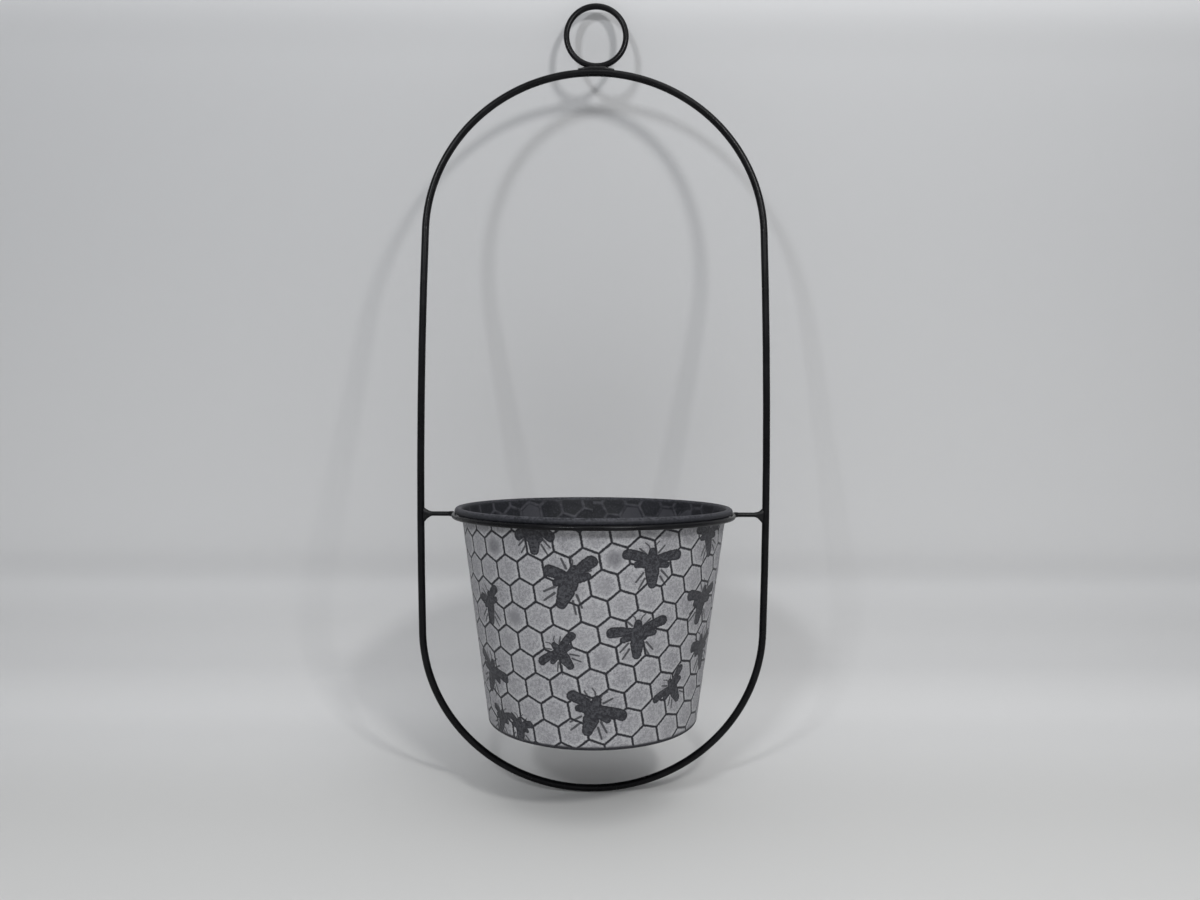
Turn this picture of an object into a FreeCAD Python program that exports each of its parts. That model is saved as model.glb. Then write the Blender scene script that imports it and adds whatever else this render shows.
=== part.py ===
import FreeCAD, Part
import math
import os

import Sketcher
from FreeCAD import Placement, Rotation, Vector

# A pot in a hanging hoop: a tall wire hoop with a small hanging ring welded on top, two short arms that
# carry a horizontal ring, and a tapered sheet-metal pot that drops into that ring and lifts out again.
#
# Millimetres, +Z up, +X to the right, the front faces -Y. The origin is the point inside the top of the
# hanging ring where a nail or hook bears.

SIZES = {
    # hanging ring and hoop
    "hang_hole": 37.0,            # inner diameter of the hanging ring
    "hang_wire": 4.0,             # its wire
    "hoop_wire": 5.0,             # wire of the hoop
    "side_room": 24.5,            # from the pot's rim to the middle of the hoop's wire at its widest
    "hoop_height": 496.3,         # between the wire's centres, top to bottom
    "widest_drop": 267.0,         # from the hoop's top down to its widest level
    "side_radius": 4440.0,        # gentle outward bow of the two long sides
    "top_rise": 112.8,            # height of the half ellipse that closes the top
    "bottom_rise": 111.4,         # depth of the half ellipse that closes the bottom
    "butt_gap": 0.02,             # running the wires up to each other without a press
    # arms and the ring that carries the pot
    "arm_drop": 305.2,            # from the hoop's top down to the arms
    "arm_wire": 3.2,
    "ring_wire": 3.2,
    "ring_grip": 1.1,             # the ring's inner edge lies this far inside the rim's outer edge
    "seat_gap": 0.3,              # between the pot's rolled rim and the ring it rests on
    # pot
    "pot_height": 145.0,
    "rim_diameter": 191.0,        # over the rolled rim
    "base_diameter": 144.0,       # over the bottom edge
    "rim_roll": 5.0,              # thickness of the rolled rim
    "roll_turn": 300.0,           # degrees that the sheet turns round the wire
    "wall_sheet": 0.5,
    "base_sheet": 0.5,
    "wire_play": 0.1,             # round the wire inside the rolled rim
    "hem_play": 0.05,             # each side of the base's flange in the wall's hem
    "hem_clear": 0.3,             # the hem's inner leg stops this far under the base's bend
    "base_recess": 3.2,           # underside of the base above the pot's lowest edge
    "base_bend": 0.7,             # inner radius between the base and its flange
    "lap_width": 6.0,             # side seam, one sheet over the other, at the back
    "lap_margin": 1.5,            # the lap stops this far from the hem and the rolled rim
    # weld beads
    "hoop_weld_spread": 7.0,      # half length at its shoulder, along the hoop
    "hoop_weld_waist": 2.9,       # half height where the fillet has fallen away
    "hoop_weld_share": 0.28,      # of the arm's length, from the hoop's face
    "ring_weld_spread": 4.4,
    "ring_weld_waist": 2.4,
    "ring_weld_share": 0.152,
    "weld_skin": 0.2,             # how far a bead's toe stands proud of the arm
    "hang_weld_length": 24.0,     # along the hoop's top
    "hang_weld_height": 6.4,
    "hang_weld_depth": 4.4,       # front to back
}

# Sizes and places worked out from the ones above, each after the ones that it needs.
WORKED_OUT = {
    "hang_level": "-Sizes.hang_hole / 2",
    "hang_radius": "(Sizes.hang_hole + Sizes.hang_wire) / 2",
    "hoop_top": "-Sizes.hang_hole - Sizes.hang_wire - Sizes.butt_gap - Sizes.hoop_wire / 2",
    "hoop_half": "Sizes.rim_diameter / 2 + Sizes.side_room",
    "hoop_bottom": "Places.hoop_top - Sizes.hoop_height",
    "widest_level": "Places.hoop_top - Sizes.widest_drop",
    "arm_level": "Places.hoop_top - Sizes.arm_drop",
    # the hoop's half width at the arms, on the bowed side
    "hoop_reach": "Places.hoop_half - Sizes.side_radius"
                  " + sqrt(Sizes.side_radius ^ 2 - (Sizes.arm_drop - Sizes.widest_drop) ^ 2)",
    "ring_radius": "Sizes.rim_diameter / 2 - Sizes.ring_grip + Sizes.ring_wire / 2",
    "arm_start": "Places.ring_radius + Sizes.ring_wire / 2 + Sizes.butt_gap",
    "arm_end": "Places.hoop_reach - Sizes.hoop_wire / 2 - Sizes.butt_gap",
    "hoop_weld_reach": "Sizes.hoop_weld_share * (Places.arm_end - Places.arm_start)",
    "ring_weld_reach": "Sizes.ring_weld_share * (Places.arm_end - Places.arm_start)",
    # the rolled rim: centre of the roll, measured from the pot's axis and from its lowest edge
    "roll_out": "Sizes.rim_diameter / 2 - Sizes.rim_roll / 2",
    "roll_up": "Sizes.pot_height - Sizes.rim_roll / 2",
    "roll_outer": "Sizes.rim_roll / 2",
    "roll_inner": "Sizes.rim_roll / 2 - Sizes.wall_sheet",
    "rim_wire_radius": "Places.roll_inner - Sizes.wire_play",
    # the hem: a half turn round the base's flange
    "hem_inner": "Sizes.base_sheet / 2 + Sizes.hem_play",
    "hem_outer": "Places.hem_inner + Sizes.wall_sheet",
    "hem_out": "Sizes.base_diameter / 2 - Places.hem_outer",
    "hem_up": "Places.hem_outer",
    # the wall's outer face is the line that touches the hem's turn and the inside of the rim's roll
    "run_out": "Places.roll_out - Places.hem_out",
    "run_up": "Places.roll_up - Places.hem_up",
    "taper": "atan(Places.run_out / Places.run_up)"
             " - asin((Places.hem_outer + Places.roll_inner) / hypot(Places.run_out; Places.run_up))",
    "cos_taper": "cos(Places.taper)",
    "sin_taper": "sin(Places.taper)",
    # the way from the roll's centre to the sheet's free edge
    "roll_stop": "180 deg - Places.taper - Sizes.roll_turn * 1 deg",
    "roll_stop_cos": "cos(Places.roll_stop)",
    "roll_stop_sin": "sin(Places.roll_stop)",
    # the base's bend: centre of its two arcs
    "bend_outer": "Sizes.base_bend + Sizes.base_sheet",
    "bend_up": "Sizes.base_recess - Sizes.base_bend",
    "bend_out": "Places.hem_out + (Places.bend_up - Places.hem_up) * Places.sin_taper / Places.cos_taper"
                " - (Places.bend_outer - Sizes.base_sheet / 2) / Places.cos_taper",
    "hem_leg": "(Places.bend_up - Places.hem_up - Sizes.hem_clear) / Places.cos_taper",
    # the rolled rim rests on the ring: height of the roll's centre over the ring's
    "seat_rise": "sqrt((Sizes.rim_roll / 2 + Sizes.ring_wire / 2 + Sizes.seat_gap) ^ 2"
                 " - (Places.ring_radius - Places.roll_out) ^ 2)",
    "pot_level": "Places.arm_level + Places.seat_rise - Places.roll_up",
}
ANGLES = ("taper", "roll_stop")

SIDES = (("left", -1), ("right", 1))
JOINT_STEPS = 12              # turns of the loop that finds where a side meets an end

# a fillet bead's root and shoulder, in shares of the wire's radius, and its waist, in a share of its reach
ROOT_DEPTH_SHARE = 0.7
SHOULDER_OUT_SHARE = 0.8
WAIST_OUT_SHARE = 0.35

# how a sketch numbers its origin, its upright axis and the points of a line or an arc
ORIGIN_NUMBERS = (-1, 1)
UP_AXIS_NUMBER = -2
START_NUMBER = 1
END_NUMBER = 2
CENTRE_NUMBER = 3

doc = FreeCAD.newDocument("wall_planter")
made = []


def bind(obj, **expressions):
    """Bind an object's properties to the sheet and the worked-out places."""
    for prop, expression in expressions.items():
        obj.setExpression(prop.replace("__", "."), expression)


def node(obj):
    """Count an object as a sub-part: it is checked and written out under its own label."""
    made.append(obj)
    return obj


def size_sheet():
    sheet = doc.addObject("Spreadsheet::Sheet", "Sizes")
    for row, (alias, value) in enumerate(SIZES.items(), 1):
        sheet.set(f"A{row}", str(value))
        sheet.setAlias(f"A{row}", alias)
    doc.recompute()
    return sheet


def place_set():
    places = doc.addObject("App::VarSet", "Places")
    for name, expression in WORKED_OUT.items():
        kind = "App::PropertyAngle" if name in ANGLES else "App::PropertyFloat"
        places.addProperty(kind, name, "Places")
        places.setExpression(name, expression)
        doc.recompute()
    return places


# ---------------------------------------------------------------- hoop and hanging ring

def end_joint(apex, rise):
    """The joint of a bowed side and the half ellipse that closes the hoop, measured from the widest level.

    Both curves share the joint's tangent. Returns the ellipse's half width, and the joint's distance from
    the hoop's middle and its height.
    """
    side = sizes.side_radius
    lean = 0.0
    for _ in range(JOINT_STEPS):
        out = places.hoop_half - side * (1 - math.cos(lean))
        cos2 = math.cos(lean) ** 2
        sin2 = math.sin(lean) ** 2
        half = math.sqrt((out ** 2 + math.sqrt(out ** 4 + 4 * out ** 2 * rise ** 2 * sin2 / cos2)) / 2)
        up = apex - rise + rise ** 2 * math.sin(lean) / math.sqrt(half ** 2 * cos2 + rise ** 2 * sin2)
        lean = math.asin(up / side)
    return half, out, up


def end_arc(centre_z, half, rise, start, end):
    """The arc from start to end, counter-clockwise seen from the front, of an ellipse about the middle."""
    centre = Vector(0, 0, centre_z)
    along_x = centre + Vector(half, 0, 0)
    along_z = centre + Vector(0, 0, rise)
    if half >= rise:
        ellipse = Part.Ellipse(along_x, along_z, centre)
    else:
        ellipse = Part.Ellipse(along_z, centre - Vector(half, 0, 0), centre)
    first = ellipse.parameter(start)
    last = ellipse.parameter(end)
    if last < first:
        last += 2 * math.pi
    return Part.ArcOfEllipse(ellipse, first, last).toShape()


def hoop_outline():
    """The hoop's centre line: two bowed sides and two half ellipses, starting at the lowest point."""
    level = places.widest_level
    top = sizes.widest_drop
    bottom = sizes.hoop_height - sizes.widest_drop
    top_half, top_out, top_up = end_joint(top, sizes.top_rise)
    bottom_half, bottom_out, bottom_down = end_joint(bottom, sizes.bottom_rise)

    def bow(sign, low, high):
        """Part of a side between two heights over the widest level."""
        points = []
        for height in (low, (low + high) / 2, high):
            sag = sizes.side_radius - math.sqrt(sizes.side_radius ** 2 - height ** 2)
            points.append(Vector(sign * (places.hoop_half - sag), 0, level + height))
        return Part.Arc(*points).toShape()

    upper_right = Vector(top_out, 0, level + top_up)
    upper_left = Vector(-top_out, 0, level + top_up)
    lower_right = Vector(bottom_out, 0, level - bottom_down)
    lower_left = Vector(-bottom_out, 0, level - bottom_down)
    lowest = Vector(0, 0, places.hoop_bottom)
    low_centre = places.hoop_bottom + sizes.bottom_rise
    return Part.Wire([
        end_arc(low_centre, bottom_half, sizes.bottom_rise, lowest, lower_right),
        bow(1, -bottom_down, top_up),
        end_arc(places.hoop_top - sizes.top_rise, top_half, sizes.top_rise, upper_right, upper_left),
        bow(-1, top_up, -bottom_down),
        end_arc(low_centre, bottom_half, sizes.bottom_rise, lower_left, lowest),
    ])


def make_hoop():
    outline = doc.addObject("Part::Feature", "hoop_outline")
    outline.Shape = hoop_outline()
    section = doc.addObject("Part::Circle", "hoop_section")
    section.Placement = Placement(Vector(), Rotation(Vector(0, 1, 0), Vector(), Vector(1, 0, 0), "ZXY"))
    bind(section, Radius="Sizes.hoop_wire / 2", Placement__Base__z="Places.hoop_bottom")
    sweep = doc.addObject("Part::Sweep", "hoop")
    sweep.Sections = [section]
    sweep.Spine = (outline, [f"Edge{i + 1}" for i in range(len(outline.Shape.Edges))])
    sweep.Solid = True
    sweep.Frenet = False
    return node(sweep)


def make_hanging_ring():
    ring = doc.addObject("Part::Torus", "hanging_ring")
    ring.Placement = Placement(Vector(), Rotation(Vector(1, 0, 0), 90))
    bind(ring, Radius1="Places.hang_radius", Radius2="Sizes.hang_wire / 2",
         Placement__Base__z="Places.hang_level")
    return node(ring)


# ---------------------------------------------------------------- arms and the pot's ring

def make_arm(side, sign):
    arm = doc.addObject("Part::Cylinder", f"{side}_arm")
    arm.Placement = Placement(Vector(), Rotation(Vector(0, 1, 0), 90))
    bind(arm, Radius="Sizes.arm_wire / 2", Height="Places.arm_end - Places.arm_start",
         Placement__Base__x="Places.arm_start" if sign > 0 else "-Places.arm_end",
         Placement__Base__z="Places.arm_level")
    return node(arm)


def make_pot_ring():
    ring = doc.addObject("Part::Torus", "pot_ring")
    bind(ring, Radius1="Places.ring_radius", Radius2="Sizes.ring_wire / 2",
         Placement__Base__z="Places.arm_level")
    return node(ring)


# ---------------------------------------------------------------- weld beads

def carve(label, blank, *wires):
    """Take the wires out of a weld's blank, so that the bead lies on them."""
    left = blank
    for number, wire in enumerate(wires, 1):
        last = number == len(wires)
        cut = doc.addObject("Part::Cut", label if last else f"{label}_cut{number}")
        cut.Base = left
        cut.Tool = wire
        left = cut
    return node(left)


def bead_section(label, out, spread, depth, along):
    """An ellipse across the arm at a distance from the middle, its long way along the wire it joins."""
    section = doc.addObject("Part::Ellipse", label)
    section.Placement = Placement(Vector(), Rotation(along, Vector(), Vector(1, 0, 0), "ZXY"))
    bind(section, MajorRadius=spread, MinorRadius=depth,
         Placement__Base__x=out, Placement__Base__z="Places.arm_level")
    return section


def make_bead(label, sign, bead, wire, centre, inward, along, *wires):
    """A fillet weld where an arm butts a wire: it flares along the wire and runs out along the arm.

    Its root is hidden inside the wire, and from its shoulder on it is a little thicker than the arm.
    bead is the first part of its sizes' names, wire the name of that wire's diameter, centre the distance
    of the wire's middle from the object's middle, inward the way from the wire to the arm's other end, and
    along the way that the wire runs. The bead lies on the wires that follow.
    """
    wire_radius = f"Sizes.{wire} / 2"
    reach = f"Places.{bead}_reach"
    toe = "(Sizes.arm_wire / 2 + Sizes.weld_skin)"
    stations = (
        ("root", "0", f"Sizes.{bead}_spread", f"{ROOT_DEPTH_SHARE} * {wire_radius}"),
        ("shoulder", f"{SHOULDER_OUT_SHARE} * {wire_radius}", f"Sizes.{bead}_spread", toe),
        ("waist", f"({wire_radius} + {WAIST_OUT_SHARE} * {reach})", f"Sizes.{bead}_waist", toe),
        ("toe", f"({wire_radius} + {reach})", toe, toe),
    )
    sections = []
    for name, offset, spread, depth in stations:
        out = f"{sign} * ({centre} + {inward} * {offset})"
        sections.append(bead_section(f"{label}_{name}", out, spread, depth, along))
    blank = doc.addObject("Part::Loft", f"{label}_blank")
    blank.Sections = sections
    blank.Solid = True
    blank.Ruled = False
    return carve(label, blank, *wires)


def make_hanging_bead(hoop, ring):
    """The weld that fills the two corners between the hanging ring and the hoop's top."""
    blank = doc.addObject("Part::Ellipsoid", "hanging_ring_weld_blank")
    bind(blank, Radius1="Sizes.hang_weld_height / 2", Radius2="Sizes.hang_weld_length / 2",
         Radius3="Sizes.hang_weld_depth / 2",
         Placement__Base__z="Places.hoop_top + Sizes.hoop_wire / 2")
    return carve("hanging_ring_weld", blank, hoop, ring)


# ---------------------------------------------------------------- pot

def origin_plane(body, role):
    return [plane for plane in body.Origin.OriginFeatures if plane.Role == role][0]


def sketch_on(body, label, role, outline, arcs=None):
    """A closed sketch through corners given as (out, up) expressions, each measured from the origin.

    arcs maps the number of a stretch to (centre, turn): the name of the place that it goes round, and +1 for
    counter-clockwise or -1 for clockwise. Every other stretch is straight.
    """
    arcs = arcs or {}
    sketch = body.newObject("Sketcher::SketchObject", label)
    sketch.AttachmentSupport = [(origin_plane(body, role), "")]
    sketch.MapMode = "FlatFace"
    corners = [point_at(sketch, out, up) for out, up in outline]
    count = len(corners)
    for index, start in enumerate(corners):
        end = corners[(index + 1) % count]
        if index in arcs:
            centre, turn = arcs[index]
            middle = point_at(sketch, f"Places.{centre}_out", f"Places.{centre}_up")
            sketch.addGeometry(arc_about(middle, start, end, turn), False)
        else:
            sketch.addGeometry(Part.LineSegment(start, end), False)
    for index, (out, up) in enumerate(outline):
        begin = end_number(arcs, index, first=True)
        before = (index - 1) % count
        finish = end_number(arcs, before, first=False)
        sketch.addConstraint(Sketcher.Constraint("Coincident", before, finish, index, begin))
        if corners[index].x == 0:
            sketch.addConstraint(Sketcher.Constraint("PointOnObject", index, begin, UP_AXIS_NUMBER))
        else:
            hold(sketch, "DistanceX", f"out_{index}", index, begin, out)
        hold(sketch, "DistanceY", f"up_{index}", index, begin, up)
    for index, (centre, _) in arcs.items():
        # its two ends are held, so the centre can only move square to the line between them
        chord = corners[(index + 1) % count] - corners[index]
        if abs(chord.x) > abs(chord.y):
            hold(sketch, "DistanceY", f"centre_{index}", index, CENTRE_NUMBER, f"Places.{centre}_up")
        else:
            hold(sketch, "DistanceX", f"centre_{index}", index, CENTRE_NUMBER, f"Places.{centre}_out")
    return sketch


def point_at(obj, out, up):
    return Vector(obj.evalExpression(out), obj.evalExpression(up), 0)


def hold(sketch, kind, name, index, point, expression):
    """Measure a point from the sketch's origin and bind that measure."""
    value = sketch.evalExpression(expression)
    number = sketch.addConstraint(Sketcher.Constraint(kind, *ORIGIN_NUMBERS, index, point, value))
    sketch.renameConstraint(number, name)
    sketch.setExpression(f"Constraints.{name}", expression)


def end_number(arcs, index, first):
    """A sketch's arc runs counter-clockwise, so one that the outline follows clockwise starts at its end."""
    clockwise = index in arcs and arcs[index][1] < 0
    return START_NUMBER if first != clockwise else END_NUMBER


def arc_about(centre, start, end, turn):
    first, last = (start, end) if turn > 0 else (end, start)
    begin = math.atan2(first.y - centre.y, first.x - centre.x)
    stop = math.atan2(last.y - centre.y, last.x - centre.x)
    if stop < begin:
        stop += 2 * math.pi
    return Part.ArcOfCircle(Part.Circle(centre, Vector(0, 0, 1), (first - centre).Length), begin, stop)


def about(centre, radius, angle_cos, angle_sin):
    """The corner at a distance from a centre, the way that the cosine and sine say."""
    return (f"Places.{centre}_out + ({radius}) * ({angle_cos})",
            f"Places.{centre}_up + ({radius}) * ({angle_sin})")


def pot_body(label):
    body = doc.addObject("PartDesign::Body", label)
    bind(body, Placement__Base__z="Places.pot_level")
    return node(body)


def revolve(body, label, sketch, angle=None):
    turn = body.newObject("PartDesign::Revolution", label)
    turn.Profile = sketch
    turn.ReferenceAxis = (sketch, ["V_Axis"])
    turn.Midplane = True
    if angle:
        turn.setExpression("Angle", angle)
    else:
        turn.Angle = 360
    return turn


def make_pot_wall():
    """The pot's side: one sheet, rolled round the rim wire at the top and hemmed round the base below."""
    cos = "Places.cos_taper"
    sin = "Places.sin_taper"
    wall = pot_body("pot_wall")
    leg_out = f"Places.hem_leg * {sin}"
    leg_up = f"Places.hem_leg * {cos}"
    hem_in = about("hem", "Places.hem_inner", f"-{cos}", sin)
    hem_over = about("hem", "Places.hem_outer", f"-{cos}", sin)
    outline = [
        about("hem", "Places.hem_outer", cos, f"-{sin}"),
        about("roll", "Places.roll_inner", f"-{cos}", sin),
        about("roll", "Places.roll_inner", "Places.roll_stop_cos", "Places.roll_stop_sin"),
        about("roll", "Places.roll_outer", "Places.roll_stop_cos", "Places.roll_stop_sin"),
        about("roll", "Places.roll_outer", f"-{cos}", sin),
        about("hem", "Places.hem_inner", cos, f"-{sin}"),
        hem_in,
        (f"{hem_in[0]} + {leg_out}", f"{hem_in[1]} + {leg_up}"),
        (f"{hem_over[0]} + {leg_out}", f"{hem_over[1]} + {leg_up}"),
        hem_over,
    ]
    arcs = {1: ("roll", -1), 3: ("roll", 1), 5: ("hem", -1), 9: ("hem", 1)}
    profile = sketch_on(wall, "wall_profile", "XZ_Plane", outline, arcs)
    revolve(wall, "wall_turn", profile)

    # the lap of the side seam, over the outer face at the back
    low = "(Places.bend_up + Sizes.lap_margin)"
    high = "(Places.roll_up - Places.roll_outer - Sizes.lap_margin)"
    thick = f"Sizes.wall_sheet / {cos}"

    def face_out(up):
        return f"Places.hem_out + (Places.hem_outer + ({up} - Places.hem_up) * {sin}) / {cos}"

    # it starts a little inside the sheet, so that the two fuse
    strip = [
        (f"{face_out(low)} - {thick} / 2", low),
        (f"{face_out(low)} + {thick}", low),
        (f"{face_out(high)} + {thick}", high),
        (f"{face_out(high)} - {thick} / 2", high),
    ]
    lap = sketch_on(wall, "lap_profile", "YZ_Plane", strip)
    wall.Tip = revolve(wall, "lap_turn", lap, "2 * asin(Sizes.lap_width / Sizes.rim_diameter)")
    return wall


def make_pot_base():
    """The pot's floor: a disc with a turned-down flange that the wall's hem grips."""
    cos = "Places.cos_taper"
    sin = "Places.sin_taper"
    base = pot_body("pot_base")
    outline = [
        ("0", "Sizes.base_recess"),
        about("bend", "Sizes.base_bend", "0", "1"),
        about("bend", "Sizes.base_bend", cos, f"-{sin}"),
        about("hem", "Sizes.base_sheet / 2", f"-{cos}", sin),
        about("hem", "Sizes.base_sheet / 2", cos, f"-{sin}"),
        about("bend", "Places.bend_outer", cos, f"-{sin}"),
        about("bend", "Places.bend_outer", "0", "1"),
        ("0", "Sizes.base_recess + Sizes.base_sheet"),
    ]
    arcs = {1: ("bend", -1), 5: ("bend", 1)}
    profile = sketch_on(base, "base_profile", "XZ_Plane", outline, arcs)
    base.Tip = revolve(base, "base_turn", profile)
    return base


def make_rim_wire():
    wire = doc.addObject("Part::Torus", "rim_wire")
    bind(wire, Radius1="Places.roll_out", Radius2="Places.rim_wire_radius",
         Placement__Base__z="Places.pot_level + Places.roll_up")
    return node(wire)


# ---------------------------------------------------------------- build, check and write

sizes = size_sheet()
places = place_set()

hoop = make_hoop()
hanging_ring = make_hanging_ring()
pot_ring = make_pot_ring()
make_hanging_bead(hoop, hanging_ring)
for side_name, side_sign in SIDES:
    side_arm = make_arm(side_name, side_sign)
    make_bead(f"{side_name}_hoop_weld", side_sign, "hoop_weld", "hoop_wire", "Places.hoop_reach", -1,
              Vector(0, 0, 1), hoop, side_arm)
    make_bead(f"{side_name}_ring_weld", side_sign, "ring_weld", "ring_wire", "Places.ring_radius", 1,
              Vector(0, 1, 0), pot_ring, side_arm)
make_pot_wall()
make_rim_wire()
make_pot_base()

doc.recompute()
for item in doc.Objects:
    if "Invalid" in item.State or "Error" in item.State:
        raise RuntimeError(f"{item.Label} could not be built: {item.State}")
for item in made:
    if item.Shape.isNull() or not item.Shape.isValid():
        raise RuntimeError(f"{item.Label} has no sound shape")

os.makedirs("parts", exist_ok=True)
for item in made:
    item.Shape.exportStep(f"parts/{item.Label}.step")
    box = item.Shape.BoundBox
    print(f"{item.Label}: {len(item.Shape.Solids)} solid, volume {item.Shape.Volume:.1f}, "
          f"x {box.XMin:.2f} to {box.XMax:.2f}, y {box.YMin:.2f} to {box.YMax:.2f}, "
          f"z {box.ZMin:.2f} to {box.ZMax:.2f}")
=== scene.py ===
import math

import bmesh
import bpy
import numpy as np
from mathutils import Matrix, Vector


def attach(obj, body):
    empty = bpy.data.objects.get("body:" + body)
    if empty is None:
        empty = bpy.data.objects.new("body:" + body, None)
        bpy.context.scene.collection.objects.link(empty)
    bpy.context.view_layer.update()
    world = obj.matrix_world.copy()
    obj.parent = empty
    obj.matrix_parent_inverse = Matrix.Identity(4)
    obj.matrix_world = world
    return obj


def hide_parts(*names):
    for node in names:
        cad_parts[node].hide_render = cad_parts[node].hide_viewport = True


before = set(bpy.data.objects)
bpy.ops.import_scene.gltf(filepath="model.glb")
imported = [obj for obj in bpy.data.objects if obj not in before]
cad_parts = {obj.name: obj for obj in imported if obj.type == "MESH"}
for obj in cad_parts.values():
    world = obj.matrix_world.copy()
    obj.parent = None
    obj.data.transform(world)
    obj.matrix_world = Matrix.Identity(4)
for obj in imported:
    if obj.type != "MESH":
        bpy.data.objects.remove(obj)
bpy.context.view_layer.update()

# Lengths are in millimetres up to the point where a mesh is made.
MM = 0.001
rng = np.random.default_rng(7)

# ---------------------------------------------------------------- the pot's sheet, as in the CAD

POT_LOW = -488.001                          # the pot's lowest edge; heights on the pot are counted from it
SHEET = 0.5                                 # the sheet's thickness
ROLL_OUT, ROLL_UP = 93.0, 142.5             # the middle of the rolled rim: from the pot's axis, and height
ROLL_OUTER, ROLL_INNER = 2.5, 2.0           # the roll's radii, outside and at the wire
ROLL_TURN = 300.0                           # degrees
HEM_OUT, HEM_UP = 71.2, 0.8                 # the middle of the hem's bend
HEM_OUTER, HEM_INNER, HEM_LEG = 0.8, 0.3, 1.41
SEAM = 0.0004                               # half the gap between the sheet's two ends, in radians
# the cone's angle, as the line that touches the hem's and the roll's circles
TAPER = (math.atan2(ROLL_OUT - HEM_OUT, ROLL_UP - HEM_UP)
         - math.asin((HEM_OUTER + ROLL_INNER) / math.hypot(ROLL_OUT - HEM_OUT, ROLL_UP - HEM_UP)))
COS, SIN = math.cos(TAPER), math.sin(TAPER)
FOOT_R, FOOT_H = HEM_OUT + HEM_OUTER * COS, HEM_UP - HEM_OUTER * SIN
HEAD_H = ROLL_UP + ROLL_INNER * SIN

# ---------------------------------------------------------------- the embossing, on the sheet laid flat
# Flat coordinates: x to the right of the front's middle line, y up it from the front's lowest point.

FLAT_FOOT = (FOOT_R - FOOT_H * SIN / COS) / SIN     # from the tip to the level of the lowest edge
PITCH = 17.70                 # between the cells' centres
HALF_CELL = PITCH / 2         # from a cell's centre to its side
SIDE = PITCH / math.sqrt(3)
ROW_TURN = math.radians(10.23)
ROW_X, ROW_Y = 6.0, 105.0     # the centre of one cell
ROW_SQUASH = 1.026
STEPS = 7                     # mesh steps from a cell's centre to its corner
# how far the mesh's rings of points in a cell are from its side
RING_EDGE = np.array([HALF_CELL, 7.3, 5.8, 4.35, 2.95, 1.75, 0.85, 0.0])
FLAT_LOW, FLAT_HIGH, FLAT_SPARE = -60.0, 160.0, 6.0    # how far the lattice is laid out
GROOVE_DEPTH, GROOVE_HALF = 0.45, 0.95
CELL_RISE, RISE_FROM = 0.14, 0.5            # a cell's middle stands a little higher than its sides
BEE_DEPTH, BEE_EDGE = 0.32, 0.7
# the heights over which the embossing begins and ends
PRESSED_LOW, PRESSED_HIGH = (4.2, 7.0), (138.5, 141.0)

# x, y, heading of the head, size, then direction and length of the left and the right wing
BEES = [
    (-15, 107, 70, 1.12, 163, 17.5, 41, 20.5), (36, 117, 91, 0.98, 162, 20, 5, 21),
    (27, 73, 88, 0.96, 177, 19.5, 17, 21), (-21, 62, 129, 0.77, 215, 15.8, 53, 15.4),
    (0, 26, 74, 1.04, 150, 18.8, -17, 21), (54, 33, 118, 0.74, 202, 16.2, 56, 14.8),
    (82, 84, 66, 1.0, 160, 18.5, 10, 19), (85, 126, 100, 0.9, 155, 15, 14, 17),
    (86, 50, 98, 1.0, 168, 15, 12, 18), (-76, 83, 96, 0.86, 178, 12, 59, 14),
    (-78, 36, 76, 0.95, 152, 18, -3, 18), (-50, 7, 95, 0.72, 150, 11, 22, 11),
    (-68, 7, 78, 0.72, 150, 11, 22, 11), (-38, 137, 92, 0.95, 209, 14.5, -23, 14.5),
]
# x, y, and how much: cells where the wash is worn through in the middle
WORN_CELLS = [
    (-71, 127, 0.98), (11, 123, 1.0), (-53, 84, 0.96), (6, 106, 0.93), (5, 62, 0.93), (-58, 65, 0.93),
    (120, 100, 0.98), (135, 40, 0.96), (246, 87, 0.98), (-130, 110, 0.98), (-120, 50, 0.96), (170, 80, 0.97),
]
# the bees out of the photograph's sight: degrees round the pot from the front, and heights
BACK_FIRST, BACK_STEP = 98.0, 12.6
BACK_HEIGHTS = (20, 104, 62, 124, 34, 84, 12, 110, 52, 92, 24, 120, 70, 40)
BACK_SIZES = [0.74, 0.95, 0.95, 1.05]
BACK_LEAN, BACK_LEFT, BACK_RIGHT, BACK_SPAN = 30, (66, 90), (60, 84), 20

# the bee at size 1, the head towards +y: (start, end, radius at the start, radius at the end)
BODY_PARTS = (
    ((0, 5.2), (0, 7.1), 3.1, 2.6),
    ((0, -1.8), (0, 1.2), 5.2, 4.8),
    ((0, -6.0), (0, -13.2), 4.9, 3.2),
)
# mirrored to both sides: feelers, then three pairs of legs
LIMB_PARTS = (
    ((1.4, 8.2), (2.4, 11.2), 0.42, 0.34),
    ((2.4, 11.2), (4.8, 13.2), 0.34, 0.30),
    ((4.2, 6.0), (8.6, 10.0), 0.58, 0.44),
    ((6.2, -5.6), (11.2, -11.0), 0.64, 0.46),
    ((5.4, -9.4), (9.4, -15.6), 0.64, 0.46),
)
SHOULDER = 1.0                              # how far ahead of the bee's middle the wings begin
WING_LENGTH = 20.0                          # a wing's usual length, at size 1
WING_FROM, WING_TO = 0.12, 0.84             # the ends of its middle line, as shares of its length
WING_ROOT, WING_TIP = 2.7, 3.7              # half its width there
WING_BEND = -0.9
HIND_WING = ((4.5, 2.6), (9.4, 4.4), 2.5, 2.1)       # along the wing, and towards the tail
FAR = 60.0                                  # stands for "no bee near"
USUAL_CHANCE = 0.9                          # the highest chance number of a cell that isn't in WORN_CELLS


def smooth(low, high, value):
    """0 at low, 1 at high, smooth between. low may be the larger."""
    t = np.clip((value - low) / (high - low), 0, 1)
    return t * t * (3 - 2 * t)


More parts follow.
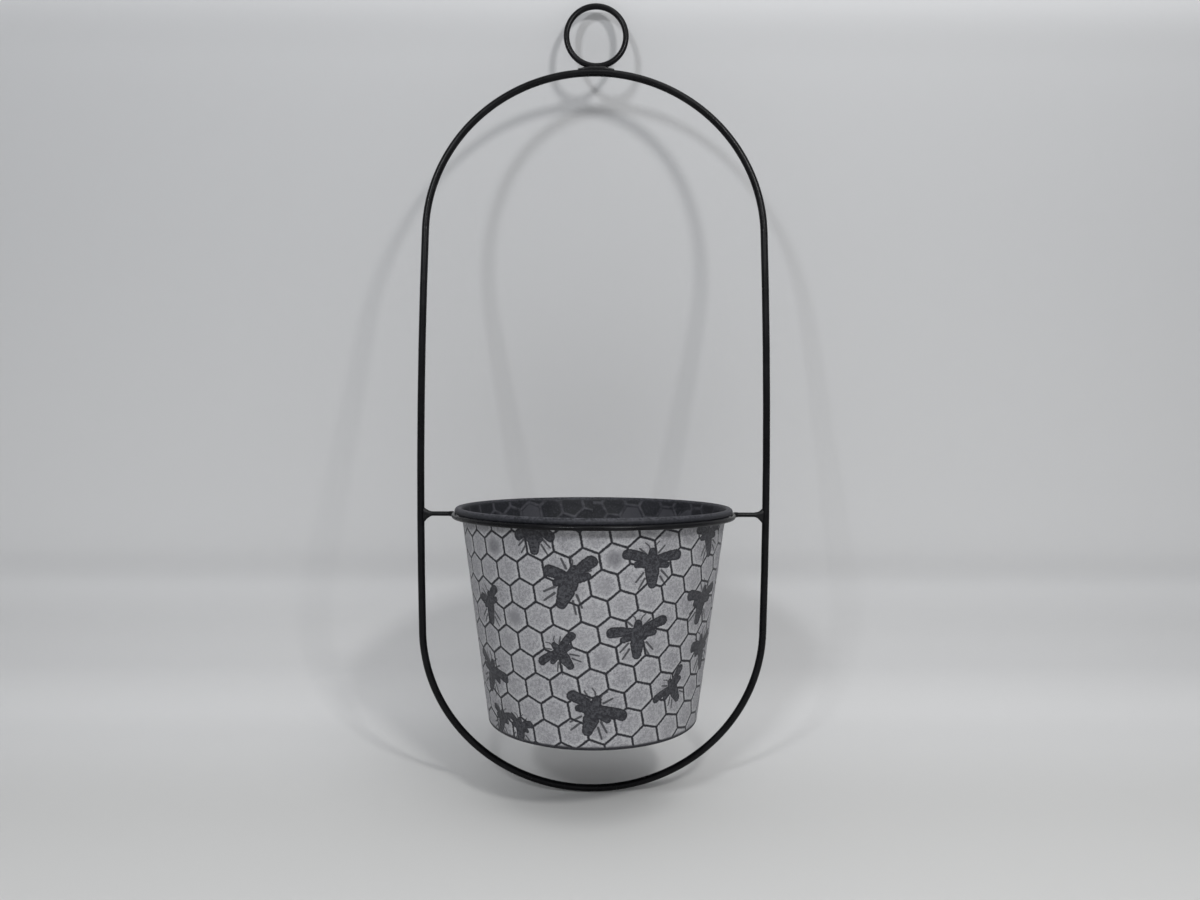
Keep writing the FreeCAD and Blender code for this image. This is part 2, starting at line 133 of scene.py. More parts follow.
def flat_to_rows(x, y):
    """Coordinates from a cell's centre, along the rows of cells and across them."""
    x = x - ROW_X
    y = (y - ROW_Y) * ROW_SQUASH
    c, s = math.cos(ROW_TURN), math.sin(ROW_TURN)
    return x * c + y * s, -x * s + y * c


def rows_to_flat(u, v):
    """The reverse of flat_to_rows."""
    c, s = math.cos(ROW_TURN), math.sin(ROW_TURN)
    return u * c - v * s + ROW_X, (u * s + v * c) / ROW_SQUASH + ROW_Y


def flat_to_pot(x, y):
    """Angle round the pot, from the front to the right, and height over its lowest edge."""
    rho = np.hypot(x, y + FLAT_FOOT)
    return np.arctan2(x, y + FLAT_FOOT) / SIN, (rho - FLAT_FOOT) * COS


def pot_to_flat(phi, h):
    """The reverse of flat_to_pot."""
    rho = FLAT_FOOT + h / COS
    return rho * np.sin(phi * SIN), rho * np.cos(phi * SIN) - FLAT_FOOT


def wall_radius(h):
    """The plain cone's outer radius at a height."""
    return FOOT_R + (h - FOOT_H) * SIN / COS


def cell_of(u, v):
    """The nearest cell's centre, and a number of its own."""
    rise = PITCH * math.sqrt(3) / 2
    low = np.floor(v / rise)
    best = np.full(u.shape, 1e9)
    cu, cv, number = np.zeros_like(u), np.zeros_like(u), np.zeros_like(u)
    for row in (low, low + 1):
        first = np.round(u / PITCH - row / 2)
        for step in (-1, 0, 1):
            at = first + step
            tu, tv = PITCH * (at + row / 2), rise * row
            d = np.hypot(u - tu, v - tv)
            near = d < best
            best = np.where(near, d, best)
            cu, cv = np.where(near, tu, cu), np.where(near, tv, cv)
            number = np.where(near, at * 37 + row * 101, number)
    return cu, cv, number


def side_distance(x, y):
    """From a point of a cell, given from its centre, to the nearest side."""
    most = np.abs(x)
    for turn in (60, 120):
        a = math.radians(turn)
        most = np.maximum(most, np.abs(x * math.cos(a) + y * math.sin(a)))
    return HALF_CELL - most


def taper_distance(x, y, part):
    """From a tapered rod with round ends: start, end and the radius at each."""
    (ax, ay), (bx, by), ra, rb = part
    dx, dy = bx - ax, by - ay
    t = np.clip(((x - ax) * dx + (y - ay) * dy) / (dx * dx + dy * dy), 0, 1)
    return np.hypot(x - ax - dx * t, y - ay - dy * t) - (ra + (rb - ra) * t)


def bee_list():
    """All bees: those of the front, then those of the back, turned and sized by chance."""
    bees = [tuple(map(float, b)) for b in BEES]
    for k, h in enumerate(BACK_HEIGHTS):
        phi = math.radians(BACK_FIRST + BACK_STEP * k)
        if phi > math.pi:
            phi -= 2 * math.pi
        x, y = pot_to_flat(phi, h)
        head = 90 - math.degrees(phi * SIN) + rng.uniform(-BACK_LEAN, BACK_LEAN)
        size = rng.choice(BACK_SIZES)
        span = BACK_SPAN * size
        left = head + rng.uniform(*BACK_LEFT)
        bees.append((x, y, head, size, left, span, head - rng.uniform(*BACK_RIGHT), span))
    return np.array(bees)


BEE_TABLE = bee_list()


def bee_frames(x, y, which):
    """Coordinates in the body's frame and along each wing, at size 1, for the bees that are named."""
    b = BEE_TABLE[which]
    shape = (len(x),) + (1,) * (x.ndim - 1)
    cx, cy, head, size, left, llen, right, rlen = [b[:, k].reshape(shape) for k in range(8)]
    dx, dy = x - cx, y - cy
    a = np.radians(head - 90)
    bx = (dx * np.cos(a) + dy * np.sin(a)) / size
    by = (-dx * np.sin(a) + dy * np.cos(a)) / size
    shoulder_x, shoulder_y = -np.sin(a) * SHOULDER * size, np.cos(a) * SHOULDER * size
    frames = [bx, by]
    for angle, length in ((left, llen), (right, rlen)):
        w = np.radians(angle)
        ex, ey = dx - shoulder_x, dy - shoulder_y
        frames.append((ex * np.cos(w) + ey * np.sin(w)) / length)
        frames.append((-ex * np.sin(w) + ey * np.cos(w)) / size)
    return frames


def wing_distance(along, across, spread):
    """along is a share of the wing's length. spread is that length at size 1."""
    t = np.clip(along, WING_FROM, WING_TO)
    bend = WING_BEND * np.sin(np.clip(along, 0, 1) * math.pi)
    fore = np.hypot((along - t) * spread, across - bend) - (WING_ROOT + (WING_TIP - WING_ROOT) * t)
    return np.minimum(fore, taper_distance(along * spread, across, HIND_WING))


def bee_distance(x, y, which):
    """From the outline of the bee that is named, body and wings, in units of its size."""
    bx, by, la, lc, ra, rc = bee_frames(x, y, which)
    d = np.minimum(wing_distance(la, lc, WING_LENGTH), wing_distance(ra, -rc, WING_LENGTH))
    for part in BODY_PARTS:
        d = np.minimum(d, taper_distance(bx, by, part))
    return d


def nearest_bee(x, y):
    """The row of BEE_TABLE that a point belongs to. A large bee reaches farther."""
    d = np.hypot(x[:, None] - BEE_TABLE[None, :, 0], y[:, None] - BEE_TABLE[None, :, 1])
    return (d / BEE_TABLE[None, :, 3] ** 0.5).argmin(1)


def relief(x, y, h):
    """How far the sheet stands out of its plain cone."""
    u, v = flat_to_rows(x, y)
    cu, cv, _ = cell_of(u, v)
    e = side_distance(u - cu, v - cv)
    cells = -GROOVE_DEPTH * (1 - smooth(0.0, GROOVE_HALF, e)) + CELL_RISE * smooth(RISE_FROM, HALF_CELL, e)
    inside = smooth(BEE_EDGE, -BEE_EDGE, bee_distance(x, y, nearest_bee(x, y)))
    out = cells * (1 - inside) - BEE_DEPTH * inside
    return out * smooth(*PRESSED_LOW, h) * (1 - smooth(*PRESSED_HIGH, h))


# ---------------------------------------------------------------- mesh helpers

def new_object(name, mesh):
    obj = bpy.data.objects.new(name, mesh)
    bpy.context.scene.collection.objects.link(obj)
    return obj


def shade(mesh, angle):
    mesh.polygons.foreach_set("use_smooth", [True] * len(mesh.polygons))
    mesh.set_sharp_from_angle(angle=math.radians(angle))


def cone_points(phi, radius, height):
    """Points at an angle round the pot, from the front to the right, a radius and a height."""
    return np.stack([radius * np.sin(phi), -radius * np.cos(phi), POT_LOW + height + 0 * phi], -1)


def sheet_mesh():
    """The sheet as a lattice of triangles in line with the cells: the points' places on the pot,
    the triangles, and the centre and number of each triangle's cell."""
    q = SIDE / STEPS
    span = math.sin(math.pi * SIN) * (FLAT_FOOT + HEAD_H / COS) + FLAT_SPARE
    corner_x = np.array([-span, span, -span, span])
    corner_y = np.array([FLAT_LOW, FLAT_LOW, FLAT_HIGH, FLAT_HIGH])
    u, v = flat_to_rows(corner_x, corner_y)
    wide = q * math.cos(math.radians(30))
    i = np.arange(int(u.min() / wide) - 1, int(u.max() / wide) + 2)
    reach = int(max(abs(v.min()), abs(v.max())) / q + (i.max() - i.min()) / 2) + 2
    j = np.arange(-reach, reach)
    gi, gj = np.meshgrid(i, j, indexing="ij")
    pu, pv = wide * gi, q * (0.5 * gi + gj)

    # rings of points draw in towards each cell's side, where the groove is
    cu, cv, _ = cell_of(pu, pv)
    du, dv = pu - cu, pv - cv
    ring = 1 - side_distance(du, dv) / HALF_CELL
    new_ring = np.interp(ring * STEPS, np.arange(STEPS + 1), 1 - RING_EDGE / HALF_CELL)
    pull = np.where(ring > 1e-6, new_ring / np.maximum(ring, 1e-6), 1)
    x, y = rows_to_flat(cu + du * pull, cv + dv * pull)
    phi, h = flat_to_pot(x, y)

    number = np.arange(gi.size).reshape(gi.shape)
    a, b, c, d = number[:-1, :-1], number[1:, :-1], number[1:, 1:], number[:-1, 1:]
    tris = np.concatenate([np.stack([a, b, d], -1).reshape(-1, 3), np.stack([b, c, d], -1).reshape(-1, 3)])
    phi, h, x, y = phi.ravel(), h.ravel(), x.ravel(), y.ravel()
    inside = (np.abs(phi) < math.pi) & (h > FOOT_H) & (h < HEAD_H)
    tris = tris[inside[tris].any(1)]

    # a number of its own for each cell, from the middles of the triangles before the pull
    mu, mv = pu.ravel()[tris].mean(1), pv.ravel()[tris].mean(1)
    tcu, tcv, cell = cell_of(mu, mv)
    used, tris = np.unique(tris, return_inverse=True)
    tris = tris.reshape(-1, 3)
    phi = np.clip(phi[used], -math.pi + SEAM, math.pi - SEAM)
    h = np.clip(h[used], FOOT_H, HEAD_H)
    return phi, h, tris, tcu, tcv, cell


def border_edges(tris):
    """The edges that only one triangle has, in that triangle's direction."""
    edges = np.concatenate([tris[:, [0, 1]], tris[:, [1, 2]], tris[:, [2, 0]]])
    key = np.sort(edges, 1)
    _, first, count = np.unique(key, axis=0, return_index=True, return_counts=True)
    return edges[first[count == 1]]


def arc(centre_out, centre_up, radius, start, turn, steps):
    """Points of an arc as (distance from the pot's axis, height)."""
    angles = np.linspace(start, start + turn, steps)
    return np.stack([centre_out + radius * np.cos(angles), centre_up + radius * np.sin(angles)], -1)


def roll_profile():
    """Round the rim wire, from the inner face over the top, down, and back inside to the outer face."""
    start = math.pi - TAPER
    turn = -math.radians(ROLL_TURN)
    over = arc(ROLL_OUT, ROLL_UP, ROLL_OUTER, start, turn, 15)
    back = arc(ROLL_OUT, ROLL_UP, ROLL_INNER, start + turn, -turn, 8)
    return np.concatenate([over, back])


def hem_profile():
    """From the outer face round the lowest edge, up the leg, over its end and back to the inner face."""
    over = arc(HEM_OUT, HEM_UP, HEM_OUTER, -TAPER, -math.pi, 7)
    back = arc(HEM_OUT, HEM_UP, HEM_INNER, math.pi - TAPER, math.pi, 5)
    leg = np.array([[HEM_LEG * SIN, HEM_LEG * COS]])
    return np.concatenate([over, over[-1:] + leg, back[:1] + leg, back])


def turned_band(points, phi, profile, ends):
    """Columns of profile points at the given angles. The first and last rows are points already there."""
    first, last = ends
    rows = [first]
    start = len(points)
    new = []
    for k in range(1, len(profile) - 1):
        rows.append(np.arange(start, start + len(phi)))
        new.append(cone_points(phi, profile[k, 0], profile[k, 1]))
        start += len(phi)
    rows.append(last)
    return np.concatenate([points] + new), rows


def write_pattern(mesh, cx, cy, tcu, tcv, cell, which, twice):
    """What the materials read at each face corner: the place in the cell, on the nearest bee and along its
    wings. cx and cy hold the corners' flat coordinates. The faces come first in the mesh, then, if twice,
    their backs."""
    u, v = flat_to_rows(cx, cy)
    # a number between 0 and 1 that looks random but follows from the cell's own
    chance = USUAL_CHANCE * np.mod(np.sin(cell * 12.9898) * 43758.5453, 1.0)
    for worn_x, worn_y, much in WORN_CELLS:
        wu, wv = flat_to_rows(np.array([float(worn_x)]), np.array([float(worn_y)]))
        chance = np.where(np.hypot(tcu - wu, tcv - wv) < PITCH * 0.56, much, chance)
    corners = cx.shape[1]
    in_cell = np.stack([u - tcu[:, None], v - tcv[:, None], np.repeat(chance[:, None], corners, 1)], -1)
    bx, by, la, lc, ra, rc = bee_frames(cx, cy, which)
    zero = np.zeros_like(bx)
    data = {
        "cell": in_cell,
        "bee": np.stack([bx, by, zero], -1),
        "wings": np.stack([la, lc, ra], -1),
        "wing_side": np.stack([-rc, zero, zero], -1),
    }
    plain = {"cell": (0, 0, 0.5), "bee": (FAR, FAR, 0), "wings": (FAR, FAR, FAR), "wing_side": (FAR, 0, 0)}
    for name, values in data.items():
        blocks = [values.reshape(-1, 3)] + ([values[:, ::-1].reshape(-1, 3)] if twice else [])
        done = sum(map(len, blocks))
        blocks.append(np.tile(plain[name], (len(mesh.loops) - done, 1)))
        layer = mesh.attributes.new(name, "FLOAT_VECTOR", "CORNER")
        layer.data.foreach_set("vector", np.concatenate(blocks).astype(np.float32).ravel())


def make_pot_wall():
    """The embossed sheet with its rolled rim and its hem, closed along the seam."""
    phi, h, tris, tcu, tcv, cell = sheet_mesh()
    border = border_edges(tris)
    rim = np.unique(border)
    # the border's points nearest to the sheet's four corners go right into them
    for corner_phi in (-math.pi + SEAM, math.pi - SEAM):
        for corner_h in (FOOT_H, HEAD_H):
            away = np.hypot((phi[rim] - corner_phi) * 80, h[rim] - corner_h)
            phi[rim[away.argmin()]], h[rim[away.argmin()]] = corner_phi, corner_h
    x, y = pot_to_flat(phi, h)
    out = relief(x, y, h)
    radius = wall_radius(h)
    outer = cone_points(phi, radius + out * COS, h - out * SIN)
    inner = cone_points(phi, radius + (out - SHEET) * COS, h - (out - SHEET) * SIN)
    count = len(phi)
    points = np.concatenate([outer, inner])

    top = (h[border] >= HEAD_H - 1e-6).all(1)
    foot = (h[border] <= FOOT_H + 1e-6).all(1)
    side = border[~top & ~foot]
    quads = [np.stack([side[:, 1], side[:, 0], side[:, 0] + count, side[:, 1] + count], -1)]
    caps = []
    for chosen, profile, from_inner in ((top, roll_profile(), True), (foot, hem_profile(), False)):
        chain = np.unique(border[chosen])
        chain = chain[np.argsort(phi[chain])]
        ends = (chain + count, chain) if from_inner else (chain, chain + count)
        points, rows = turned_band(points, phi[chain], profile, ends)
        for low, high in zip(rows[:-1], rows[1:]):
            quads.append(np.stack([low[:-1], low[1:], high[1:], high[:-1]], -1))
        for end in (0, -1):
            loop = [int(r[end]) for r in rows]
            caps.append(loop if end == 0 else loop[::-1])

    polys = tris.tolist() + (tris[:, ::-1] + count).tolist() + np.concatenate(quads).tolist() + caps
    mesh = bpy.data.meshes.new("pot_wall_sheet")
    mesh.from_pydata((points * MM).tolist(), [], polys)
    mesh.update()

    which = nearest_bee(x[tris].mean(1), y[tris].mean(1))
    write_pattern(mesh, x[tris], y[tris], tcu, tcv, cell, which, twice=True)
    # the outside material on the outer face, the inside one on all else
    slots = np.ones(len(polys), np.int32)
    slots[:len(tris)] = 0
    mesh.polygons.foreach_set("material_index", slots)
    shade(mesh, 65)
    return new_object("pot_wall_sheet", mesh)


LAP_HALF, LAP_LOW, LAP_HIGH = 2.98, 4.1, 138.3      # half the lap's width, and its lowest and highest edge
LAP_ACROSS, LAP_ALONG = 9, 150                      # its mesh points
# its pattern's share of the wall's depth and the deepest it goes, and how deep it is set into the wall
LAP_SHARE, LAP_DEEPEST, LAP_UNDER = 0.8, -0.4, 0.12


def make_lap():
    """The strip of the sheet that laps over its other end, at the back. The pattern runs on over it."""
    across = np.linspace(-LAP_HALF, LAP_HALF, LAP_ACROSS)
    along = np.linspace(LAP_LOW, LAP_HIGH, LAP_ALONG)
    s, h = np.meshgrid(across, along, indexing="ij")
    phi = math.pi + s / wall_radius(h)
    shape = phi.shape
    phi, h = phi.ravel(), h.ravel()
    x, y = pot_to_flat(phi, h)
    out = np.clip(relief(x, y, h) * LAP_SHARE, LAP_DEEPEST, 0.0)
    outer = cone_points(phi, wall_radius(h) + (SHEET + out) * COS, h - (SHEET + out) * SIN)
    under = cone_points(phi, wall_radius(h) - LAP_UNDER, h)
    number = np.arange(phi.size).reshape(shape)
    a, b, c, d = number[:-1, :-1], number[1:, :-1], number[1:, 1:], number[:-1, 1:]
    top = np.stack([a, b, c, d], -1).reshape(-1, 4)
    rim = np.concatenate([number[:, 0], number[-1, 1:], number[-2::-1, -1], number[0, -2:0:-1]])
    after = np.roll(rim, -1)
    walls = np.stack([rim, after, after + phi.size, rim + phi.size][::-1], -1)
    polys = np.concatenate([top, top[:, ::-1] + phi.size, walls])
    mesh = bpy.data.meshes.new("pot_wall_lap")
    mesh.from_pydata((np.concatenate([outer, under]) * MM).tolist(), [], polys.tolist())
    mesh.update()

    # a face's own cell and bee, as on the wall
    cx, cy = x[top], y[top]
    mid_u, mid_v = flat_to_rows(cx.mean(1), cy.mean(1))
    tcu, tcv, cell = cell_of(mid_u, mid_v)
    write_pattern(mesh, cx, cy, tcu, tcv, cell, nearest_bee(cx.mean(1), cy.mean(1)), twice=False)
    shade(mesh, 50)
    return new_object("pot_wall_lap", mesh)


# a weld's sections: place along its axis, reach up, reach down, reach to each side
HOOP_WELD = [
    (-0.9, 5.2, 6.5, 1.2), (0.0, 4.9, 6.3, 1.7), (1.0, 4.1, 5.5, 1.95), (2.3, 3.0, 4.0, 1.95),
    (3.8, 2.2, 2.7, 1.80), (5.2, 1.8, 1.9, 1.70), (6.3, 1.62, 1.62, 1.62),
]
RING_WELD = [
    (-0.4, 1.0, 1.2, 4.0), (0.3, 1.6, 1.8, 3.9), (1.0, 1.85, 1.9, 3.4), (1.9, 1.85, 1.9, 2.6),
    (2.8, 1.75, 1.8, 2.0), (3.6, 1.62, 1.62, 1.62),
]
TOP_WELD = [
    (-12.6, 0.02, 1.6, 0.5), (-10.8, 0.35, 1.8, 1.0), (-8.8, 0.85, 1.9, 1.5), (-7.0, 1.6, 1.9, 1.8),
    (-5.6, 2.3, 1.9, 2.0), (-3.0, 2.5, 1.8, 2.15), (0.0, 2.45, 1.7, 2.2), (3.2, 2.5, 1.8, 2.15),
    (5.8, 2.25, 1.9, 2.0), (7.2, 1.5, 1.9, 1.8), (9.0, 0.8, 1.9, 1.5), (11.0, 0.3, 1.8, 1.0),
    (12.6, 0.02, 1.6, 0.5),
]
ARM_UP, HOOP_WELD_OUT, RING_WELD_OUT, TOP_WELD_UP = -348.72, 118.1, 97.0, -40.9
BEAD_TURNS, BEAD_STEPS = 36, 6              # mesh points round a bead, and between two of its sections
BEAD_WAVES, BEAD_FADE = 7, 4                # waves that make it lumpy, and steps over which they fade in


def make_bead(name, centre, axis, sections, lump, seed):
    """A run of weld: rounded sections along an axis, a little uneven."""
    angles = np.linspace(0, 2 * math.pi, BEAD_TURNS, endpoint=False)
    table = np.array(sections, float)
    places = np.linspace(0, len(table) - 1, BEAD_STEPS * (len(table) - 1) + 1)
    low = np.minimum(places.astype(int), len(table) - 2)
    t = (places - low)[:, None]
    before, after = table[np.maximum(low - 1, 0)], table[np.minimum(low + 2, len(table) - 1)]
    p0, p1 = table[low], table[low + 1]
    rows = 0.5 * (2 * p0 + (p1 - before) * t + (2 * before - 5 * p0 + 4 * p1 - after) * t ** 2
                  + (3 * p0 - before - 3 * p1 + after) * t ** 3)
    rows = np.maximum(rows, table.min(0))
    chance = np.random.default_rng(seed)
    waves = [(chance.uniform(0.5, 1.5), chance.integers(1, 5), chance.uniform(0, 6.3))
             for _ in range(BEAD_WAVES)]
    axis, side, up = np.array(axis, float), np.array((0.0, 1.0, 0.0)), np.array((0.0, 0.0, 1.0))
    points = []
    for k, (at, high, deep, wide) in enumerate(rows):
        rough = sum(math.sin(w * at * 1.3 + q) * np.cos(m * angles + q * w) for w, m, q in waves) / BEAD_WAVES
        fade = min(1.0, k / BEAD_FADE, (len(rows) - 1 - k) / BEAD_FADE)
        grow = 1 + lump * rough * fade
        vertical = np.where(np.sin(angles) > 0, high, deep) * np.sin(angles) * grow
        points.append(np.array(centre) + axis * at + side * (wide * np.cos(angles) * grow)[:, None]
                      + up * vertical[:, None])
    points = np.concatenate(points)
    faces = []
    for k in range(len(rows) - 1):
        low, high = k * BEAD_TURNS, (k + 1) * BEAD_TURNS
        for j in range(BEAD_TURNS):
            i = (j + 1) % BEAD_TURNS
            faces.append((low + j, low + i, high + i, high + j))
    faces.append(tuple(range(BEAD_TURNS))[::-1])
    faces.append(tuple(range((len(rows) - 1) * BEAD_TURNS, len(rows) * BEAD_TURNS)))
    mesh = bpy.data.meshes.new(name)
    mesh.from_pydata((points * MM).tolist(), [], faces)
    bm = bmesh.new()
    bm.from_mesh(mesh)
    bmesh.ops.recalc_face_normals(bm, faces=bm.faces)
    bm.to_mesh(mesh)
    bm.free()
    shade(mesh, 60)
    return new_object(name, mesh)


def make_welds():
    """The beads, each with the node of the solid that it is fitted over."""
    made = []
    for sign, word in ((-1, "left"), (1, "right")):
        seed = 11 + sign
        for kind, out, way, sections, lump, more in (("hoop_weld", HOOP_WELD_OUT, -1, HOOP_WELD, 0.10, 0),
                                                     ("ring_weld", RING_WELD_OUT, 1, RING_WELD, 0.09, 5)):
            node = word + "_" + kind
            centre, axis = (sign * out, 0, ARM_UP), (sign * way, 0, 0)
            made.append((make_bead(node + "_bead", centre, axis, sections, lump, seed + more), node))
    bead = make_bead("hanging_ring_weld_bead", (0, 0, TOP_WELD_UP), (1, 0, 0), TOP_WELD, 0.10, 5)
    made.append((bead, "hanging_ring_weld"))
    return made


# ---------------------------------------------------------------- materials
# A noise's scale is in waves per metre. A pair is where a step begins and ends, in the noise's own measure
# or, across the pattern, in millimetres.

WASH_THIN, WASH_FULL = (0.225, 0.223, 0.240), (0.280, 0.278, 0.292)
# the colour along the cells' edges: thick wash together with a painted highlight
WASH_THICK, WASH_EDGE_AND_HIGHLIGHT = (0.395, 0.394, 0.408), (0.43, 0.43, 0.445)
WASH_WORN = (0.125, 0.125, 0.138)
BARE_DEEP, BARE, BARE_DUSTY = (0.014, 0.014, 0.018), (0.028, 0.028, 0.034), (0.062, 0.063, 0.071)
RAGGED_SCALE, GRAIN_SCALE, MOTTLE_SCALE, CLOUD_SCALE = 900.0, 1050.0, 560.0, 28.0
RAGGED_BY = 1.1                             # how far an edge of the pattern wanders
# HEM_STEP: the band of bare paint and painted shade along the hem, in millimetres over the lowest edge
GROOVE_STEP, BODY_STEP, LIMB_STEP, HEM_STEP = (1.08, 0.50), (0.35, -0.15), (0.35, -0.1), (3.1, 1.5)
EDGE_STEP, MIDDLE_STEP = (3.4, 1.3), (1.8, 7.0)
WASH_ROUGH, BARE_ROUGH = 0.66, 0.50

INNER_DEEP, INNER, INNER_SPECK = (0.009, 0.010, 0.013), (0.016, 0.017, 0.021), (0.030, 0.030, 0.038)
INNER_PALE = (0.072, 0.072, 0.084)
# heights over which the rolled rim's top gets a painted highlight
RIM_HIGHLIGHT_STEP = (142.8, 144.6)                # heights on the rolled rim

# colour, rubbed colour, roughness, the skin's scale, specular level
PAINTS = {
    "black_wire_paint": ((0.0025, 0.0025, 0.0032), (0.011, 0.011, 0.013), 0.29, 1800.0, 0.15),
    "weld_paint": ((0.0035, 0.0035, 0.0042), (0.018, 0.018, 0.021), 0.36, 1100.0, 0.20),
    "pot_base_paint": ((0.022, 0.023, 0.028), (0.050, 0.051, 0.058), 0.50, 900.0, 0.4),
    "rim_wire_steel": ((0.45, 0.46, 0.47), (0.60, 0.60, 0.61), 0.40, 1200.0, 0.5),
}


class Nodes:
    """Shorthand for building a material's nodes."""

    def __init__(self, name):
        self.material = bpy.data.materials.new(name)
        self.material.use_nodes = True
        self.tree = self.material.node_tree
        self.tree.nodes.clear()
        self.out = self.tree.nodes.new("ShaderNodeOutputMaterial")
        self.shader = self.tree.nodes.new("ShaderNodeBsdfPrincipled")
        self.join(self.shader.outputs[0], self.out.inputs["Surface"])

    def join(self, a, b):
        """From an output to an input."""
        self.tree.links.new(a, b)

    def feed(self, socket, value):
        """Links an output to the socket, or sets a constant on the socket itself."""
        if hasattr(value, "links"):
            self.join(value, socket)
        elif isinstance(value, (tuple, list, Vector)):
            full = tuple(value)
            socket.default_value = full + (1.0,) if len(full) == 3 and socket.type == "RGBA" else full
        else:
            socket.default_value = value

    def math(self, operation, *values, clamp=False):
        n = self.tree.nodes.new("ShaderNodeMath")
        n.operation = operation
        n.use_clamp = clamp
        for socket, value in zip(n.inputs, values):
            self.feed(socket, value)
        return n.outputs[0]

    def vector(self, operation, *values, scale=None):
        n = self.tree.nodes.new("ShaderNodeVectorMath")
        n.operation = operation
        for socket, value in zip(n.inputs, values):
            self.feed(socket, value)
        if scale is not None:
            self.feed(n.inputs["Scale"], scale)
        return n.outputs["Value"] if operation in ("DOT_PRODUCT", "LENGTH", "DISTANCE") else n.outputs[0]

    def attribute(self, name):
        n = self.tree.nodes.new("ShaderNodeAttribute")
        n.attribute_name = name
        return n.outputs["Vector"]

    def parts(self, vector):
        n = self.tree.nodes.new("ShaderNodeSeparateXYZ")
        self.join(vector, n.inputs[0])
        return n.outputs

    def pack(self, x, y, z=0.0):
        n = self.tree.nodes.new("ShaderNodeCombineXYZ")
        for socket, value in zip(n.inputs, (x, y, z)):
            self.feed(socket, value)
        return n.outputs[0]

    def step(self, low, high, value):
        """0 at low, 1 at high, smooth between. low may be the larger."""
        n = self.tree.nodes.new("ShaderNodeMapRange")
        n.interpolation_type = "SMOOTHSTEP"
        n.clamp = True
        flip = low > high
        self.feed(n.inputs["Value"], value)
        for name, number in zip(("From Min", "From Max", "To Min", "To Max"),
                                (min(low, high), max(low, high), float(flip), float(not flip))):
            n.inputs[name].default_value = number
        return n.outputs[0]

    def coordinates(self):
        return self.tree.nodes.new("ShaderNodeTexCoord").outputs["Object"]

    def noise(self, scale, detail=3.0, rough=0.5):
        n = self.tree.nodes.new("ShaderNodeTexNoise")
        n.inputs["Scale"].default_value = scale
        n.inputs["Detail"].default_value = detail
        n.inputs["Roughness"].default_value = rough
        self.join(self.coordinates(), n.inputs["Vector"])
        return n.outputs[0]

    def mix(self, factor, a, b):
        """Between two colours."""
        n = self.tree.nodes.new("ShaderNodeMix")
        n.data_type = "RGBA"
        self.feed(n.inputs[0], factor)
        self.feed(n.inputs[6], a)
        self.feed(n.inputs[7], b)
        return n.outputs[2]

    def blend(self, factor, a, b):
        """Between two numbers."""
        n = self.tree.nodes.new("ShaderNodeMix")
        self.feed(n.inputs[0], factor)
        self.feed(n.inputs[2], a)
        self.feed(n.inputs[3], b)
        return n.outputs[0]

    def bump(self, height, distance, strength):
        n = self.tree.nodes.new("ShaderNodeBump")
        n.inputs["Strength"].default_value = strength
        n.inputs["Distance"].default_value = distance
        self.join(height, n.inputs["Height"])
        self.join(n.outputs[0], self.shader.inputs["Normal"])

    def set(self, **values):
        """The shader's inputs by name, with _ for a space."""
        for name, value in values.items():
            self.feed(self.shader.inputs[name.replace("_", " ")], value)


def side_nodes(n):
    """Distance from the nearest side of the cell, and the cell's chance number."""
    cell = n.attribute("cell")
    most = n.math("ABSOLUTE", n.parts(cell)[0])
    for turn in (60, 120):
        a = math.radians(turn)
        reach = n.math("ABSOLUTE", n.vector("DOT_PRODUCT", cell, (math.cos(a), math.sin(a), 0.0)))
        most = n.math("MAXIMUM", most, reach)
    return n.math("SUBTRACT", HALF_CELL, most), n.parts(cell)[2]


def taper_nodes(n, point, part):
    """taper_distance in nodes."""
    (ax, ay), (bx, by), ra, rb = part
    dx, dy = bx - ax, by - ay
    off = n.vector("SUBTRACT", point, (ax, ay, 0.0))
    length2 = dx * dx + dy * dy
    t = n.math("MULTIPLY", n.vector("DOT_PRODUCT", off, (dx, dy, 0.0)), 1 / length2, clamp=True)
    run = n.vector("SCALE", (dx, dy, 0.0), scale=t)
    d = n.vector("LENGTH", n.vector("SUBTRACT", off, run))
    return n.math("SUBTRACT", d, n.math("MULTIPLY_ADD", t, rb - ra, ra))


def wing_nodes(n, along, across, spread):
    """wing_distance in nodes."""
    t = n.math("MINIMUM", n.math("MAXIMUM", along, WING_FROM), WING_TO)
    inside = n.math("MULTIPLY", n.math("ADD", along, 0.0, clamp=True), math.pi)
    bend = n.math("MULTIPLY", n.math("SINE", inside), WING_BEND)
    off = n.pack(n.math("MULTIPLY", n.math("SUBTRACT", along, t), spread), n.math("SUBTRACT", across, bend))
    width = n.math("MULTIPLY_ADD", t, WING_TIP - WING_ROOT, WING_ROOT)
    fore = n.math("SUBTRACT", n.vector("LENGTH", off), width)
    hind = taper_nodes(n, n.pack(n.math("MULTIPLY", along, spread), across), HIND_WING)
    return n.math("MINIMUM", fore, hind)


def bee_nodes(n):
    """Distance from the bee's body and wings, and from its legs and feelers."""
    point = n.attribute("bee")
    wings = n.parts(n.attribute("wings"))
    across = n.parts(n.attribute("wing_side"))[0]
    left = wing_nodes(n, wings[0], wings[1], WING_LENGTH)
    d = n.math("MINIMUM", left, wing_nodes(n, wings[2], across, WING_LENGTH))
    for part in BODY_PARTS:
        d = n.math("MINIMUM", d, taper_nodes(n, point, part))
    xyz = n.parts(point)
    mirrored = n.pack(n.math("ABSOLUTE", xyz[0]), xyz[1])
    limbs = None
    for part in LIMB_PARTS:
        one = taper_nodes(n, mirrored, part)
        limbs = one if limbs is None else n.math("MINIMUM", limbs, one)
    return d, limbs


